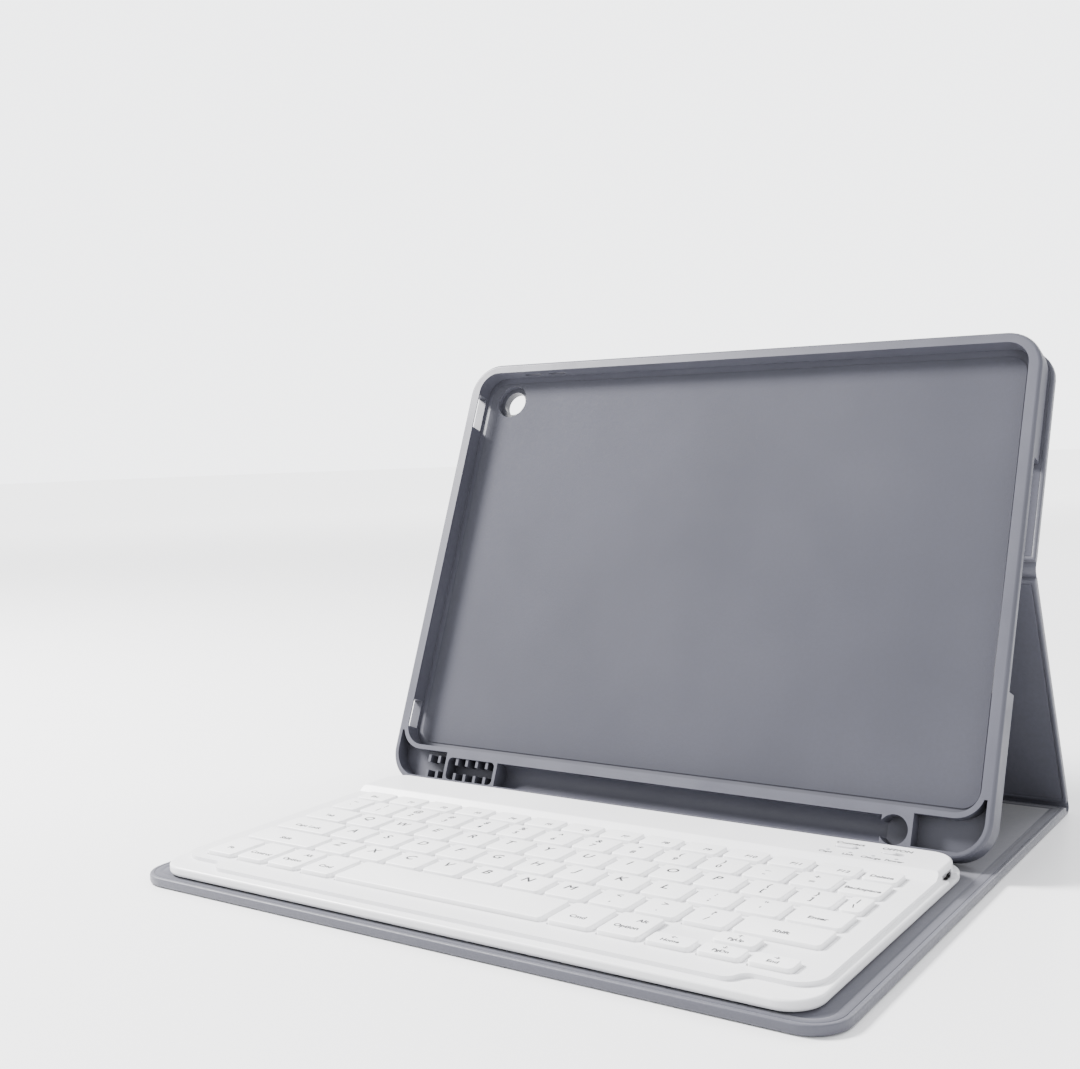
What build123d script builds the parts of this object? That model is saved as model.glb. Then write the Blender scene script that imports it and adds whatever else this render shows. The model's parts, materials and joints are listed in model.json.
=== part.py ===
from build123d import *
import os
from math import acos, atan2, cos, degrees, hypot, radians, sin

os.makedirs("parts", exist_ok=True)

# ---------------------------------------------------------------------------------------------
# Driving sizes, millimetres. The case stands open for typing: the cover lies on the table, the
# kickstand rises from its rear edge and the tray leans against it. X is across, Y goes from the
# cover's front edge to the rear, and Z is up. The origin is under the middle of the footprint.
# ---------------------------------------------------------------------------------------------

# the tablet that the tray holds, and the stylus that lies along its lower edge
tablet_width = 250.6
tablet_height = 174.1
tablet_thickness = 7.5
tablet_corner = 9.0
tablet_clearance = 0.4
stylus_diameter = 8.9
stylus_length = 166.0
stylus_clearance = 0.3
stylus_proud = 1.0

# laminated cover panels: outer skin, stiff board, inner liner
skin = 0.7
board = 1.8
liner = 0.7
edge_wrap = 1.6
cover_edge_round = 0.65
tray_side_margin = 2.0
keyboard_side_margin = 8.0
cover_corner = 12.0
front_depth = 200.0
spine_depth = 25.0
spine_groove = 5.0
kickstand_height = 102.0
upper_height = 82.0
panel_side_margin = 3.0

# living hinges of the cover
hinge_axis_height = 2.0
hinge_half_gap = 3.2
hinge_skin_gap = 1.9
fold_half_gap = 2.75
fold_skin_gap = 0.55
glue = 0.5

# tray
tray_side = 4.3
tray_top = 3.7
tray_band = 15.6
tray_floor = 2.2
channel_floor = 1.9
tray_corner = 14.0
tray_edge = 1.4
rim_lip = 0.5
lining = 0.4
stand_clearance = 0.3

# keyboard
keyboard_width = 248.0
keyboard_depth = 130.0
keyboard_margin = 3.0
keyboard_tray_gap = 1.2
foot_height = 0.4
bottom_height = 3.6
bottom_floor = 1.0
deck_thickness = 1.4
ridge_height = 7.2
ridge_flat = 20.5
ridge_slope = 3.0
keyboard_corner = 11.0
deck_inset = 2.2
deck_front_inset = 3.6
lip_step = 5.6
lip_from_side = 28.0
lip_run = 8.0
shell_wall = 1.6

# keys
key_side_margin = 10.0
row_units = 13.85
key_gap = 1.9
well_clearance = 0.35
key_height = 3.0
key_proud = 1.5
key_wall = 0.9
key_corner = 1.3
key_edge = 0.35
row_shares = [19.0, 15.0, 15.0, 15.0, 15.0, 11.6]
front_key_margin = 12.4
ridge_key_gap = 1.3

# ---------------------------------------------------------------------------------------------
# Worked-out sizes
# ---------------------------------------------------------------------------------------------
cover_thickness = skin + board + liner
tray_width = tablet_width + 2 * (tablet_clearance + tray_side)
tray_height = tablet_height + 2 * tablet_clearance + tray_top + tray_band
bay_depth = tablet_thickness + lining
channel_width = stylus_diameter + 2 * stylus_clearance
channel_straight = stylus_diameter / 2 - stylus_proud
channel_depth = channel_straight + channel_width / 2
tray_thickness = max(bay_depth + tray_floor, channel_depth + channel_floor)
cover_width = max(
    tray_width + 2 * tray_side_margin, keyboard_width + 2 * keyboard_side_margin
)
fold_axis_depth = skin / 2

cover_depth = front_depth + spine_groove + spine_depth
front_to_hinge = cover_depth + hinge_half_gap
total_depth = front_to_hinge + hinge_axis_height
y_front = -total_depth / 2
y_cover_rear = y_front + cover_depth
y_hinge = y_front + front_to_hinge

y_keyboard = y_front + keyboard_margin
y_foot = y_keyboard + keyboard_depth + keyboard_tray_gap + tray_thickness - tray_edge

# The stand is a triangle between the rear hinge, the fold and the tray's rounded foot. The three
# sides are fixed by the panels, so the two slopes follow from the law of cosines.
kickstand_reach = hinge_half_gap + kickstand_height + fold_half_gap
fold_offset = hinge_axis_height - fold_axis_depth
tray_below_fold = tray_height - panel_side_margin - upper_height - fold_half_gap
foot_drop = tray_below_fold - tray_edge
foot_setback = cover_thickness + glue + tray_edge - fold_axis_depth
foot_height_z = cover_thickness + stand_clearance + tray_edge

side_kickstand = hypot(kickstand_reach, fold_offset)
side_tray = hypot(foot_drop, foot_setback)
base_run = y_hinge - y_foot
base_rise = hinge_axis_height - foot_height_z
side_base = hypot(base_run, base_rise)
foot_angle = acos(
    (side_base**2 + side_tray**2 - side_kickstand**2) / (2 * side_base * side_tray)
)
fold_direction = foot_angle + atan2(base_rise, base_run)
tray_slope = fold_direction + atan2(foot_setback, foot_drop)
y_fold = y_foot + side_tray * cos(fold_direction)
z_fold = foot_height_z + side_tray * sin(fold_direction)
kickstand_slope = atan2(z_fold - hinge_axis_height, y_fold - y_hinge) + atan2(
    fold_offset, kickstand_reach
)


def slope_plane(y, z, slope):
    """Plane whose local x is X and whose local y climbs the slope; its normal faces the front."""
    return Plane(origin=(0, y, z), x_dir=(1, 0, 0), z_dir=(0, -sin(slope), cos(slope)))


# outer face of the kickstand, level with the hinge axis; its normal points into the stand
y_kickstand = y_hinge + hinge_axis_height * sin(kickstand_slope)
z_kickstand = hinge_axis_height - hinge_axis_height * cos(kickstand_slope)
kickstand_plane = slope_plane(y_kickstand, z_kickstand, kickstand_slope)

# outer face of the upper panel, level with the fold axis; its normal points at the tray
y_upper = y_fold + fold_axis_depth * sin(tray_slope)
z_upper = z_fold - fold_axis_depth * cos(tray_slope)
upper_plane = slope_plane(y_upper, z_upper, tray_slope)

# front face of the tray, level with its lowest edge
tray_back_plane = upper_plane.offset(cover_thickness + glue)
tray_front_origin = tray_back_plane.offset(tray_thickness).from_local_coords((0, -tray_below_fold, 0))
tray_plane = Plane(
    origin=tray_front_origin, x_dir=(1, 0, 0), z_dir=tray_back_plane.z_dir
)

cover_plane = Plane.XY
keyboard_z = cover_thickness + foot_height
keyboard_plane = Plane(origin=(0, y_keyboard, keyboard_z), x_dir=(1, 0, 0), z_dir=(0, 0, 1))

pieces = {}


def keep(piece, name):
    """Name a finished piece and write its STEP file."""
    piece.label = name
    pieces[name] = piece
    export_step(piece, f"parts/{name}.step")


def panel_outline(plane, width, low, high, low_radius, high_radius):
    """Rectangle across a plane between two heights, with its own corner radius at each end."""
    with BuildSketch(plane) as outline:
        with Locations((0, (low + high) / 2)):
            Rectangle(width, high - low)
        if low_radius > 0:
            fillet(outline.vertices().group_by(Axis.Y)[0], low_radius)
        if high_radius > 0:
            fillet(outline.vertices().group_by(Axis.Y)[-1], high_radius)
    return outline.sketch


def normal_axis(plane):
    return Axis(plane.origin, plane.z_dir)


def wrapped_skin(plane, low, high, low_radius, high_radius, outer_edge, tab_from=None):
    """Outer skin of a panel: a thin sheet turned up round the board, with a bare tab to its hinge."""
    rim_round = edge_wrap * 0.4
    with BuildPart() as piece:
        extrude(
            panel_outline(plane, cover_width, low, high, low_radius, high_radius), cover_thickness
        )
        extrude(
            panel_outline(
                plane.offset(skin), cover_width - 2 * edge_wrap, low + edge_wrap,
                high - edge_wrap, max(low_radius - edge_wrap, 0), max(high_radius - edge_wrap, 0),
            ),
            cover_thickness, mode=Mode.SUBTRACT,
        )
        rim = piece.faces().sort_by(normal_axis(plane))[-1]
        fillet(rim.outer_wire().edges(), rim_round)
        fillet(piece.edges().group_by(normal_axis(plane))[0], outer_edge)
        if tab_from is not None:
            extrude(panel_outline(plane, cover_width, tab_from, low + edge_wrap, 0, 0), skin)
    return piece.part


def inner_sheet(plane, low, high, low_radius, high_radius, start, thickness):
    """Sheet that fills the turned-up skin at one level of the laminate."""
    with BuildPart() as piece:
        extrude(
            panel_outline(
                plane.offset(start), cover_width - 2 * edge_wrap, low + edge_wrap,
                high - edge_wrap, max(low_radius - edge_wrap, 0), max(high_radius - edge_wrap, 0),
            ),
            thickness,
        )
    return piece.part


def discs(plane, places, diameter):
    """Circles at several places of one plane."""
    with BuildSketch(plane) as sketch:
        with Locations(places):
            Circle(diameter / 2)
    return sketch.sketch


def rectangle(plane, across, up, width, height, corner=0.0):
    """Rectangle on a plane, with rounded corners when a radius is given."""
    with BuildSketch(plane) as sketch:
        with Locations((across, up)):
            if corner > 0:
                RectangleRounded(width, height, corner)
            else:
                Rectangle(width, height)
    return sketch.sketch


def slots(plane, places, length, width):
    """Round-ended slots along a plane's x at several places."""
    with BuildSketch(plane) as sketch:
        with Locations(places):
            SlotOverall(length, width)
    return sketch.sketch


# ---------------------------------------------------------------------------------------------
# Cover: one skin and one liner over the front board and the spine board
# ---------------------------------------------------------------------------------------------
keep(
    wrapped_skin(cover_plane, y_front, y_cover_rear, cover_corner, 0, cover_edge_round),
    "cover_skin",
)

board_width = cover_width - 2 * edge_wrap
y_front_board = y_front + edge_wrap
y_spine_board = y_front + front_depth + spine_groove

plate_from_side = 32.0
plate_width = cover_width - 2 * plate_from_side
plate_depth = 70.0
plate_thickness = 0.5
plate_from_front = 36.0
cover_magnet_diameter = 8.0
cover_magnet_thickness = 1.0
cover_magnet_from_side = 37.0
cover_magnet_from_edge = 9.0
plate_plane = cover_plane.offset(skin + board - plate_thickness)
magnet_plane = cover_plane.offset(skin + board - cover_magnet_thickness)
plate_y = y_front + plate_from_front + plate_depth / 2
cover_magnet_y = y_front + cover_magnet_from_edge
cover_magnet_x = cover_width / 2 - cover_magnet_from_side
magnet_places = [(side * cover_magnet_x, cover_magnet_y) for side in (-1, 1)]

with BuildPart() as front_board:
    extrude(
        panel_outline(
            cover_plane.offset(skin), board_width, y_front_board, y_front + front_depth,
            cover_corner - edge_wrap, 0,
        ),
        board,
    )
    extrude(
        rectangle(plate_plane, 0, plate_y, plate_width, plate_depth), plate_thickness,
        mode=Mode.SUBTRACT,
    )
    extrude(
        discs(magnet_plane, magnet_places, cover_magnet_diameter), cover_magnet_thickness,
        mode=Mode.SUBTRACT,
    )
keep(front_board.part, "front_board")

with BuildPart() as spine_board:
    extrude(
        panel_outline(
            cover_plane.offset(skin), board_width, y_spine_board, y_cover_rear - edge_wrap, 0, 0
        ),
        board,
    )
keep(spine_board.part, "spine_board")

keep(
    inner_sheet(cover_plane, y_front, y_cover_rear, cover_corner, 0, skin + board, liner),
    "cover_liner",
)

with BuildPart() as steel_plate:
    extrude(rectangle(plate_plane, 0, plate_y, plate_width, plate_depth), plate_thickness)
keep(steel_plate.part, "steel_plate")

with BuildPart() as cover_magnets:
    extrude(discs(magnet_plane, magnet_places, cover_magnet_diameter), cover_magnet_thickness)
keep(cover_magnets.part, "cover_magnets")

# ---------------------------------------------------------------------------------------------
# Rear hinge: the skin runs on past the spine and wraps round the hinge axis
# ---------------------------------------------------------------------------------------------
wrap_centre = (y_hinge, hinge_axis_height)
wrap_inner = hinge_axis_height - skin
with BuildPart() as rear_hinge:
    with BuildSketch(Plane.YZ.offset(-cover_width / 2)):
        with BuildLine():
            outer = CenterArc(wrap_centre, hinge_axis_height, -90, degrees(kickstand_slope))
            inner = CenterArc(wrap_centre, wrap_inner, -90, degrees(kickstand_slope))
            Line(outer @ 1, inner @ 1)
            Line(inner @ 0, (y_cover_rear, skin))
            Line((y_cover_rear, skin), (y_cover_rear, 0))
            Line((y_cover_rear, 0), outer @ 0)
        make_face()
    extrude(amount=cover_width)
keep(rear_hinge.part, "rear_hinge")

# ---------------------------------------------------------------------------------------------
# Kickstand: a covered board between the rear hinge and the fold
# ---------------------------------------------------------------------------------------------
kickstand_low = hinge_half_gap
kickstand_high = hinge_half_gap + kickstand_height
keep(
    wrapped_skin(
        kickstand_plane, kickstand_low, kickstand_high, 0, 0, skin / 2, hinge_skin_gap
    ),
    "kickstand_skin",
)
keep(
    inner_sheet(kickstand_plane, kickstand_low, kickstand_high, 0, 0, skin, board),
    "kickstand_board",
)
keep(
    inner_sheet(kickstand_plane, kickstand_low, kickstand_high, 0, 0, skin + board, liner),
    "kickstand_liner",
)

fold_end_round = 0.49 * skin
with BuildPart() as fold_hinge:
    extrude(
        panel_outline(kickstand_plane, cover_width, kickstand_high, kickstand_reach, 0, 0), skin
    )
    climb = Axis(kickstand_plane.origin, kickstand_plane.y_dir)
    fold_end = fold_hinge.faces().sort_by(climb)[-1]
    fillet(fold_end.edges().filter_by(Axis.X), fold_end_round)
keep(fold_hinge.part, "fold_hinge")

# ---------------------------------------------------------------------------------------------
# Upper panel: glued to the tray's back, with a hole for the tablet's camera
# ---------------------------------------------------------------------------------------------
camera_from_side = 19.0
camera_below_top = 15.5
camera_hole = 11.0
ring_wall = 2.2
ring_flange = 1.6
ring_proud = 0.5
ring_chamfer = 0.4

camera_across = tray_width / 2 - camera_from_side
camera_up = tray_height - camera_below_top
camera_on_tray = [(-camera_across, camera_up)]
camera_on_upper = [(-camera_across, camera_up - tray_below_fold)]
ring_outer = camera_hole + 2 * ring_wall
ring_seat = ring_outer + 2 * ring_flange

upper_low = fold_half_gap
upper_high = fold_half_gap + upper_height
upper_hole = discs(upper_plane, camera_on_upper, ring_outer)

with BuildPart() as upper_skin:
    add(wrapped_skin(upper_plane, upper_low, upper_high, 0, cover_corner, skin / 2, fold_skin_gap))
    extrude(upper_hole, cover_thickness, mode=Mode.SUBTRACT)
keep(upper_skin.part, "upper_skin")

with BuildPart() as upper_board:
    add(inner_sheet(upper_plane, upper_low, upper_high, 0, cover_corner, skin, board + liner))
    extrude(upper_hole, cover_thickness, mode=Mode.SUBTRACT)
keep(upper_board.part, "upper_board")

glue_inset = 8.0
glue_plane = upper_plane.offset(cover_thickness)
with BuildPart() as upper_glue:
    extrude(
        panel_outline(
            glue_plane, cover_width - 2 * glue_inset, upper_low + glue_inset,
            upper_high - glue_inset, 0, 0,
        ),
        glue,
    )
    extrude(discs(glue_plane, camera_on_upper, ring_outer), glue, mode=Mode.SUBTRACT)
keep(upper_glue.part, "upper_glue")

ring_plane = upper_plane.offset(-ring_proud)
with BuildPart() as camera_ring:
    extrude(upper_hole, cover_thickness + glue)
    extrude(discs(ring_plane, camera_on_upper, ring_seat), ring_proud)
    extrude(
        discs(ring_plane, camera_on_upper, camera_hole), cover_thickness + glue + ring_proud,
        mode=Mode.SUBTRACT,
    )
    ring_face = camera_ring.faces().sort_by(normal_axis(upper_plane))[0]
    chamfer(ring_face.outer_wire().edges(), ring_chamfer)
keep(camera_ring.part, "camera_ring")

# ---------------------------------------------------------------------------------------------
# Tray: a soft moulded shell with the tablet's bay, the stylus channel and its cut-outs
# ---------------------------------------------------------------------------------------------
bay_width = tablet_width + 2 * tablet_clearance
bay_height = tablet_height + 2 * tablet_clearance
bay_middle_up = tray_band + bay_height / 2
bay_corner = tablet_corner + tablet_clearance
band_wall_below = 2.9
channel_from_side = 38.0
finger_hole = 10.6
finger_hole_depth = 7.2
finger_overlap = 0.8
cell_depth = 6.6
cell_height = 9.4
cell_gap = 1.4
cell_corner = 2.0
cell_outer_wall = 2.4
cell_bay_wall = 1.4
cell_horn_rise = 6.0
inner_cell_share = 0.46
corner_cell_ribs = 2
rib_pitch = 5.2
rib_width = 1.3
rib_length = 3.0

band_middle = band_wall_below + cell_height / 2
channel_end = tray_width / 2 - channel_from_side
channel_start = channel_end - stylus_length
channel_middle = (channel_start + channel_end) / 2

port_low = 44.0
port_high = 130.0
port_front = 3.2
volume_from_side = 23.0
volume_length = 27.0
volume_recess = 1.2
volume_slot = 1.6
volume_slot_length = 9.0
volume_slot_spacing = 13.0
side_cut_width = 5.6
port_floor_notch = 2.5
power_below_top = 22.0
power_length = 16.0
jack_above_band = 14.0
jack_length = 12.0

through_side = 2 * tray_side + 2 * rim_lip
power_up = tray_height - power_below_top
jack_up = tray_band + jack_above_band
tray_axis = normal_axis(tray_plane)
finger_x = channel_end + finger_hole / 2 - finger_overlap
right_cell_start = finger_x + finger_hole / 2 + cell_gap
inner_cell_end = channel_start - cell_gap
inner_cell_width = inner_cell_share * (tray_width / 2 - cell_outer_wall + inner_cell_end)
inner_cell_x = inner_cell_end - inner_cell_width / 2
left_cell_start = inner_cell_end - inner_cell_width - cell_gap
inner_cell_ribs = int(inner_cell_width / rib_pitch)
rib_places = [
    inner_cell_x + rib_pitch * (count - (inner_cell_ribs - 1) / 2)
    for count in range(inner_cell_ribs)
]
rib_places += [left_cell_start - rib_pitch * (count + 0.75) for count in range(corner_cell_ribs)]
side_cut_plane = tray_plane.offset(-(bay_depth - side_cut_width) / 2)
top_plane = Plane(
    origin=tray_plane.from_local_coords((0, tray_height, -tray_thickness / 2)),
    x_dir=(1, 0, 0), z_dir=tray_plane.y_dir,
)
channel_plane = Plane(
    origin=tray_plane.from_local_coords((channel_start, band_middle, -channel_straight)),
    x_dir=(0, 1, 0), z_dir=(1, 0, 0),
)
volume_x = -tray_width / 2 + volume_from_side + volume_length / 2
volume_places = [(volume_x + side * volume_slot_spacing / 2, 0) for side in (-1, 1)]


def corner_cell(plane, start, side):
    """Cell in a lower corner of the tray, from a start to the side wall; it rises round the bay."""
    reach = tray_width / 2 - side * start
    low = band_middle - cell_height / 2
    high = tray_band + cell_horn_rise
    with BuildSketch(plane) as cell:
        with Locations((start + side * reach / 2, (low + high) / 2)):
            Rectangle(reach, high - low)
        with Locations((0, tray_height / 2)):
            RectangleRounded(
                tray_width - 2 * cell_outer_wall, tray_height - 2 * cell_outer_wall,
                tray_corner - cell_outer_wall, mode=Mode.INTERSECT,
            )
        with Locations((0, bay_middle_up)):
            RectangleRounded(
                bay_width + 2 * cell_bay_wall, bay_height + 2 * cell_bay_wall,
                bay_corner + cell_bay_wall, mode=Mode.SUBTRACT,
            )
    return cell.sketch


with BuildPart() as tray:
    extrude(
        panel_outline(tray_plane, tray_width, 0, tray_height, tray_corner, tray_corner),
        -tray_thickness,
    )
    fillet(tray.edges().group_by(tray_axis)[0], tray_edge)
    fillet(tray.edges().group_by(tray_axis)[-1], tray_edge)
    # tablet bay, a little narrower at the mouth where the lip holds the tablet's edge
    extrude(
        rectangle(
            tray_plane.offset(-rim_lip), 0, bay_middle_up, bay_width, bay_height, bay_corner
        ),
        -(bay_depth - rim_lip), mode=Mode.SUBTRACT,
    )
    extrude(
        rectangle(
            tray_plane, 0, bay_middle_up, bay_width - 2 * rim_lip, bay_height - 2 * rim_lip,
            bay_corner - rim_lip,
        ),
        -rim_lip, mode=Mode.SUBTRACT,
    )
    # stylus channel: straight sides and a round bottom
    extrude(
        rectangle(
            tray_plane, channel_middle, band_middle, channel_end - channel_start, channel_width
        ),
        -channel_straight, mode=Mode.SUBTRACT,
    )
    extrude(
        discs(channel_plane, [(0, 0)], channel_width), channel_end - channel_start,
        mode=Mode.SUBTRACT,
    )
    # round hollow for a fingertip at the stylus's tip
    extrude(
        discs(tray_plane, [(finger_x, band_middle)], finger_hole), -finger_hole_depth,
        mode=Mode.SUBTRACT,
    )
    # moulded cells at both ends of the band, the left ones with pairs of short ribs
    extrude(
        rectangle(
            tray_plane, inner_cell_x, band_middle, inner_cell_width, cell_height, cell_corner
        ),
        -cell_depth, mode=Mode.SUBTRACT,
    )
    for start, side in ((left_cell_start, -1), (right_cell_start, 1)):
        extrude(corner_cell(tray_plane, start, side), -cell_depth, mode=Mode.SUBTRACT)
    for rib_x in rib_places:
        for side in (-1, 1):
            rib_up = band_middle + side * (cell_height - rib_length) / 2
            rib = rectangle(
                tray_plane.offset(-cell_depth), rib_x, rib_up, rib_width, rib_length
            )
            extrude(rib, cell_depth - rim_lip)
    # camera hole through the floor
    extrude(
        discs(tray_plane, camera_on_tray, ring_outer), -tray_thickness, mode=Mode.SUBTRACT
    )
    # charging port and speakers, open to the back of the right side
    extrude(
        rectangle(
            tray_plane.offset(-port_front), tray_width / 2,
            tray_band + (port_low + port_high) / 2, through_side + 2 * port_floor_notch,
            port_high - port_low,
        ),
        -tray_thickness, mode=Mode.SUBTRACT,
    )
    # power button and earphone cut-outs in the left side
    for up, length in ((power_up, power_length), (jack_up, jack_length)):
        extrude(
            rectangle(side_cut_plane, -tray_width / 2, up, through_side, length),
            -side_cut_width, mode=Mode.SUBTRACT,
        )
    # volume recess in the top side, with its two slots
    extrude(
        slots(top_plane, [(volume_x, 0)], volume_length, side_cut_width), -volume_recess,
        mode=Mode.SUBTRACT,
    )
    extrude(
        slots(top_plane, volume_places, volume_slot_length, volume_slot),
        -(tray_top + tablet_clearance + rim_lip), mode=Mode.SUBTRACT,
    )
keep(tray.part, "tray")

lining_inset = 3.0
lining_plane = tray_plane.offset(-bay_depth)
with BuildPart() as tray_lining:
    extrude(
        rectangle(
            lining_plane, 0, bay_middle_up, bay_width - 2 * lining_inset,
            bay_height - 2 * lining_inset, bay_corner - lining_inset,
        ),
        lining,
    )
    extrude(discs(lining_plane, camera_on_tray, ring_outer), lining, mode=Mode.SUBTRACT)
keep(tray_lining.part, "tray_lining")

# ---------------------------------------------------------------------------------------------
# Keyboard layout: rows of keys from the front to the rear, each width in key units
# ---------------------------------------------------------------------------------------------
key_field_width = keyboard_width - 2 * key_side_margin
unit = key_field_width / row_units
ridge_front = keyboard_depth - ridge_flat - ridge_slope - deck_inset
key_field_depth = ridge_front - ridge_key_gap - front_key_margin
row_lengths = [share * key_field_depth / sum(row_shares) for share in row_shares]
letter_row = row_lengths[1]
row_fronts = [front_key_margin]
for length in row_lengths:
    row_fronts.append(row_fronts[-1] + length)
key_rear = row_fronts[-1]

rows = [
    [
        ("fn_key", 0.9), ("control_key", 0.9), ("left_option_key", 0.95),
        ("left_command_key", 0.95), ("space_bar", 5.2), ("right_command_key", 1.05),
        ("right_option_key", 1.0), ("left_arrow_key", 1.0), ("up_down_keys", 0.95),
        ("right_arrow_key", 0.95),
    ],
    [("left_shift_key", 2.04)] + [("lower_letter_keys", 1.0)] * 10 + [("right_shift_key", 1.81)],
    [("caps_lock_key", 1.63)] + [("home_letter_keys", 1.0)] * 11 + [("enter_key", 1.22)],
    [("tab_key", 1.28)] + [("upper_letter_keys", 1.0)] * 12 + [("backslash_key", 0.57)],
    [("number_keys", 0.88)] + [("number_keys", 1.0)] * 12 + [("backspace_key", 0.97)],
    [("escape_key", 1.0)] + [("function_keys", 1.0)] * 12 + [("delete_key", 0.85)],
]

# each key is (node, middle across, middle from the front, width, depth)
keys = []
for row, front, length in zip(rows, row_fronts, row_lengths):
    left = -key_field_width / 2
    along = front + length / 2
    depth = length - key_gap
    half_depth = (depth - key_gap) / 2
    half_shift = (half_depth + key_gap) / 2
    for node, units in row:
        middle = left + units * unit / 2
        width = units * unit - key_gap
        if node == "up_down_keys":
            keys.append(("down_arrow_key", middle, along - half_shift, width, half_depth))
            keys.append(("up_arrow_key", middle, along + half_shift, width, half_depth))
        elif node in ("left_arrow_key", "right_arrow_key"):
            keys.append((node, middle, along - half_shift, width, half_depth))
        else:
            keys.append((node, middle, along, width, depth))
        left += units * unit

# ---------------------------------------------------------------------------------------------
# Keyboard shells
# ---------------------------------------------------------------------------------------------
deck_top = bottom_height + deck_thickness
key_bottom = deck_top + key_proud - key_height
lip_half_width = keyboard_width / 2 - lip_from_side
cavity_front = deck_front_inset + lip_step + shell_wall
cavity_side = deck_inset + shell_wall
cavity_corner = 4.0
base_rim_round = 0.8
base_foot_round = 1.4
port_width = 9.0
port_height = 3.2
port_depth = 7.0
port_from_rear = 15.5
port_middle = 3.4
switch_from_side = 21.5
connect_from_side = 38.0
control_from_rear = 12.0
slot_length = 8.0
slot_width = 3.0
switch_travel = 2.4
light_from_rear = 17.0
light_diameter = 1.4
lights_from_side = [42.5, 34.5, 26.5, 18.5]
screw_from_side = 24.0
screw_from_front = 6.0
screw_from_rear = 2.0
screw_head = 3.2
screw_head_height = 0.6
screw_shank = 1.6
screw_length = 2.6
foot_diameter = 7.0
foot_inset = 16.0
shell_axis = normal_axis(keyboard_plane)
control_y = keyboard_depth - control_from_rear
switch_x = keyboard_width / 2 - switch_from_side
connect_x = keyboard_width / 2 - connect_from_side
light_places = [
    (keyboard_width / 2 - inset, keyboard_depth - light_from_rear) for inset in lights_from_side
]
screw_places = [
    ((keyboard_width / 2 - screw_from_side) * count, y)
    for count in (-1, 0, 1)
    for y in (screw_from_front, keyboard_depth - screw_from_rear)
]
port_y = keyboard_depth - port_from_rear
port_bottom = port_middle - port_height / 2
port_top = port_middle + port_height / 2
foot_places = [
    (side * (keyboard_width / 2 - foot_inset), y)
    for side in (-1, 1)
    for y in (foot_inset, keyboard_depth - foot_inset)
]

with BuildPart() as keyboard_bottom:
    extrude(
        panel_outline(
            keyboard_plane, keyboard_width, 0, keyboard_depth, keyboard_corner, keyboard_corner
        ),
        bottom_height,
    )
    fillet(keyboard_bottom.edges().group_by(shell_axis)[-1], base_rim_round)
    fillet(keyboard_bottom.edges().group_by(shell_axis)[0], base_foot_round)
    extrude(
        panel_outline(
            keyboard_plane.offset(bottom_floor), keyboard_width - 2 * cavity_side, cavity_front,
            keyboard_depth - cavity_side, cavity_corner, cavity_corner,
        ),
        bottom_height, mode=Mode.SUBTRACT,
    )
    # notch for the lower half of the charging socket's mouth
    extrude(
        rectangle(
            keyboard_plane.offset(port_bottom), keyboard_width / 2, port_y, 2 * port_depth,
            port_width,
        ),
        bottom_height, mode=Mode.SUBTRACT,
    )
    # screw holes from below
    extrude(discs(keyboard_plane, screw_places, screw_head), screw_head_height,
            mode=Mode.SUBTRACT)
    extrude(discs(keyboard_plane, screw_places, screw_shank), screw_length, mode=Mode.SUBTRACT)
keep(keyboard_bottom.part, "keyboard_bottom")


def deck_outline(plane):
    """Outline of the top shell: its front edge steps back near both corners."""
    side = keyboard_width / 2 - deck_inset
    rear = keyboard_depth - deck_inset
    stepped = deck_front_inset + lip_step
    run_end = lip_half_width + lip_run
    with BuildSketch(plane) as outline:
        with BuildLine():
            Line((-lip_half_width, deck_front_inset), (lip_half_width, deck_front_inset))
            Line((-side, rear), (side, rear))
            for sign in (-1, 1):
                turn = (sign * (lip_half_width + run_end) / 2, (deck_front_inset + stepped) / 2)
                TangentArc((sign * lip_half_width, deck_front_inset), turn, tangent=(sign, 0))
                TangentArc((sign * run_end, stepped), turn, tangent=(-sign, 0))
                Line((sign * run_end, stepped), (sign * side, stepped))
                Line((sign * side, stepped), (sign * side, rear))
        make_face()
        corners = [corner for corner in outline.vertices() if abs(abs(corner.X) - side) < 0.01]
        fillet(corners, keyboard_corner - deck_inset)
    return outline.sketch


def key_wells(plane):
    """Rounded openings of the top shell, one round each key."""
    with BuildSketch(plane) as wells:
        for node, middle, along, width, depth in keys:
            with Locations((middle, along)):
                RectangleRounded(
                    width + 2 * well_clearance, depth + 2 * well_clearance,
                    key_corner + well_clearance,
                )
    return wells.sketch


deck_plane = keyboard_plane.offset(bottom_height)
ridge_plane = Plane(
    origin=keyboard_plane.from_local_coords((-keyboard_width / 2 + deck_inset, 0, 0)),
    x_dir=(0, 1, 0), z_dir=(1, 0, 0),
)
ridge_edge = 1.2
with BuildPart() as ridge:
    with BuildSketch(ridge_plane):
        with BuildLine():
            Polyline(
                (ridge_front, bottom_height), (ridge_front, deck_top),
                (ridge_front + ridge_slope, ridge_height),
                (keyboard_depth - deck_inset, ridge_height),
                (keyboard_depth - deck_inset, bottom_height), close=True,
            )
        make_face()
    extrude(amount=keyboard_width - 2 * deck_inset)
    fillet(
        ridge.edges().filter_by(Axis.Z).group_by(Axis.Y)[-1], keyboard_corner - deck_inset
    )
    fillet(ridge.faces().sort_by(Axis.Z)[-1].edges(), ridge_edge)

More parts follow.
